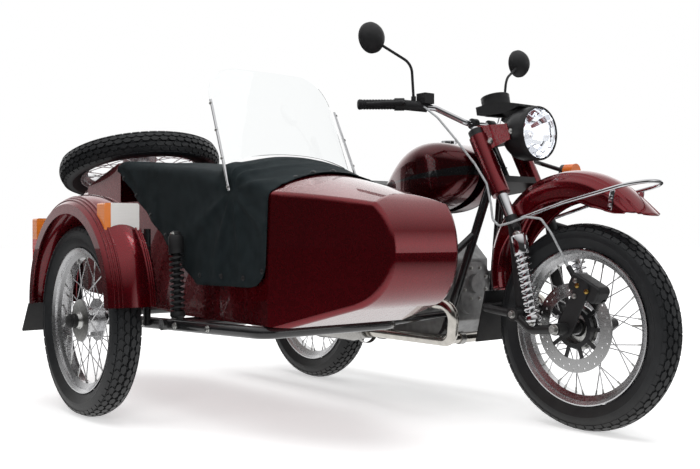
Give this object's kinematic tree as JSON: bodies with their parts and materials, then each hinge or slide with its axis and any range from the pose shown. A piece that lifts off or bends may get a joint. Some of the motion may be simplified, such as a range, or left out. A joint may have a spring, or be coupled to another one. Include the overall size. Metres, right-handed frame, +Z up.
{
  "type": "sidecar motorcycle",
  "caption": "Motorcycle with a flat-twin engine, leading-link fork and a covered sidecar on the right, rolling on wire wheels, with a spare on the trunk lid.",
  "frame": {"origin": "middle of the footprint on the ground", "axes": "+X forward, +Y to the rider's left, +Z up"},
  "size_m": [2.5183, 1.7339, 1.4178],
  "materials": {
    "paint": "deep burgundy gloss",
    "black_paint": "black gloss",
    "cast_alloy": "cast, grey",
    "chrome": "polished",
    "steel": "satin",
    "wheel_alloy": "polished",
    "tyre": "matt",
    "black_plastic": "matt black",
    "rubber": "matt black",
    "clear": "clear",
    "lamp": "amber and red lenses",
    "canvas": "dark slate canvas",
    "saddle_cover": "black vinyl"
  },
  "bodies": {
    "chassis": {"main_frame": "black_paint", "engine_block": "cast_alloy", "cylinders": "cast_alloy", "intake": "black_plastic", "exhaust_pipes": "chrome", "silencers": "steel", "fuel_tank": "paint", "fuel_cap": "chrome", "saddle": "saddle_cover", "rear_guard": "paint", "rear_lamp": "lamp", "swingarm": "black_paint", "rear_shocks": "chrome", "foot_controls": "black_paint", "sidecar_tub": "paint", "tonneau": "canvas", "windscreen": "clear", "screen_struts": "chrome", "sidecar_chassis": "black_paint", "sidecar_shock": "black_plastic", "sidecar_guard": "paint", "sidecar_lamps": "lamp", "sidecar_flap": "rubber"},
    "fork": {"fork_yokes": "black_paint", "fork_tubes": "chrome", "fork_legs": "black_paint", "leading_link": "black_paint", "front_shocks": "chrome", "fork_covers": "paint", "headlamp_shell": "black_plastic", "headlamp_lens": "clear", "instruments": "black_plastic", "handlebar": "chrome", "hand_controls": "black_plastic", "mirrors": "black_plastic", "front_guard": "paint", "front_rail": "chrome", "front_flap": "rubber", "turn_signal": "lamp", "front_caliper": "black_paint", "brake_hose": "rubber"},
    "front_roller": {"front_tyre": "tyre", "front_wheel": "wheel_alloy", "front_disc": "steel"},
    "rear_roller": {"rear_tyre": "tyre", "rear_wheel": "wheel_alloy"},
    "sidecar_roller": {"sidecar_tyre": "tyre", "sidecar_wheel": "wheel_alloy"},
    "lid": {"trunk_lid": "paint", "spare_carrier": "black_paint", "spare_tyre": "tyre", "spare_wheel": "wheel_alloy"},
    "stand": {"centre_stand": "black_paint"}
  },
  "joints": [
    {"name": "steering", "type": "hinge", "parent": "chassis", "child": "fork", "pos_m": [0.47222, 0.411, 1.004], "axis": [-0.4695, 0, 0.8829], "range_deg": [-35, 35]},
    {"name": "front_spin", "type": "hinge", "parent": "fork", "child": "front_roller", "pos_m": [0.91422, 0.411, 0.345], "axis": [0, 1, 0], "continuous": true},
    {"name": "rear_spin", "type": "hinge", "parent": "chassis", "child": "rear_roller", "pos_m": [-0.58578, 0.411, 0.345], "axis": [0, 1, 0], "continuous": true},
    {"name": "sidecar_spin", "type": "hinge", "parent": "chassis", "child": "sidecar_roller", "pos_m": [-0.36078, -0.779, 0.345], "axis": [0, 1, 0], "continuous": true},
    {"name": "trunk_hinge", "type": "hinge", "parent": "chassis", "child": "lid", "pos_m": [-0.64338, -0.274, 0.94321], "axis": [0, 1, 0], "range_deg": [0, 35]},
    {"name": "stand_pivot", "type": "hinge", "parent": "chassis", "child": "stand", "pos_m": [-0.18078, 0.411, 0.222], "axis": [0, -1, 0], "range_deg": [0, 85]}
  ]
}
